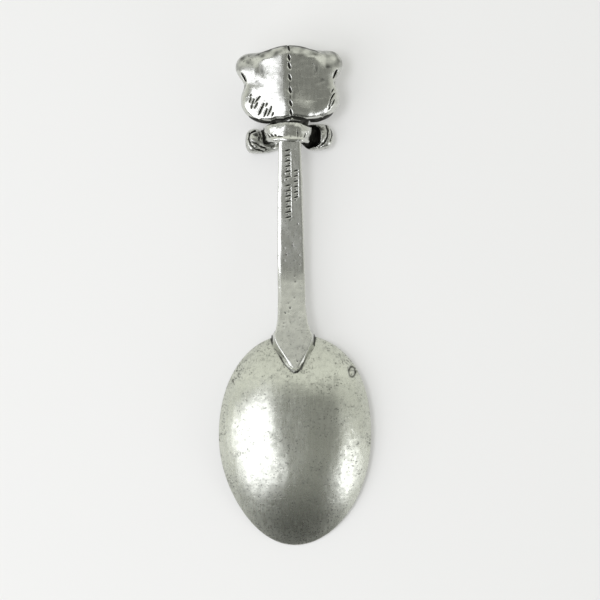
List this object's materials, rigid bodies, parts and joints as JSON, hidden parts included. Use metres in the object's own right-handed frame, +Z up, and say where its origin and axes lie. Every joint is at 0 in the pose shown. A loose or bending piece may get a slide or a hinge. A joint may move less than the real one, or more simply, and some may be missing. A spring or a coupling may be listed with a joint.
{
  "type": "souvenir spoon",
  "caption": "Small cast pewter spoon lying face down, with an egg-shaped bowl, a tapering stem ending in a pointed heel, and a teddy bear's head with a bow tie as its finial.",
  "frame": {"origin": "middle of the spoon's bounding box, at the level of the table that it lies on, face down", "axes": "+Y along the spoon from the bowl's tip to the bear's head, +Z up, towards the spoon's back, and +X to the right of the spoon's back"},
  "size_m": [0.0336, 0.11, 0.0127],
  "materials": {
    "bowl": "satin",
    "stem": "satin",
    "neck": "satin",
    "head": "gloss",
    "face": "satin",
    "ears": "gloss",
    "ribbon": "satin"
  },
  "bodies": {
    "root": {"bowl": "bowl", "stem": "stem", "neck": "neck", "head_back": "head", "head_front": "face", "ear_left": "ears", "ear_right": "ears", "collar": "ribbon", "bow_knot": "ribbon", "bow_loop_left": "ribbon", "bow_loop_right": "ribbon"}
  },
  "joints": []
}
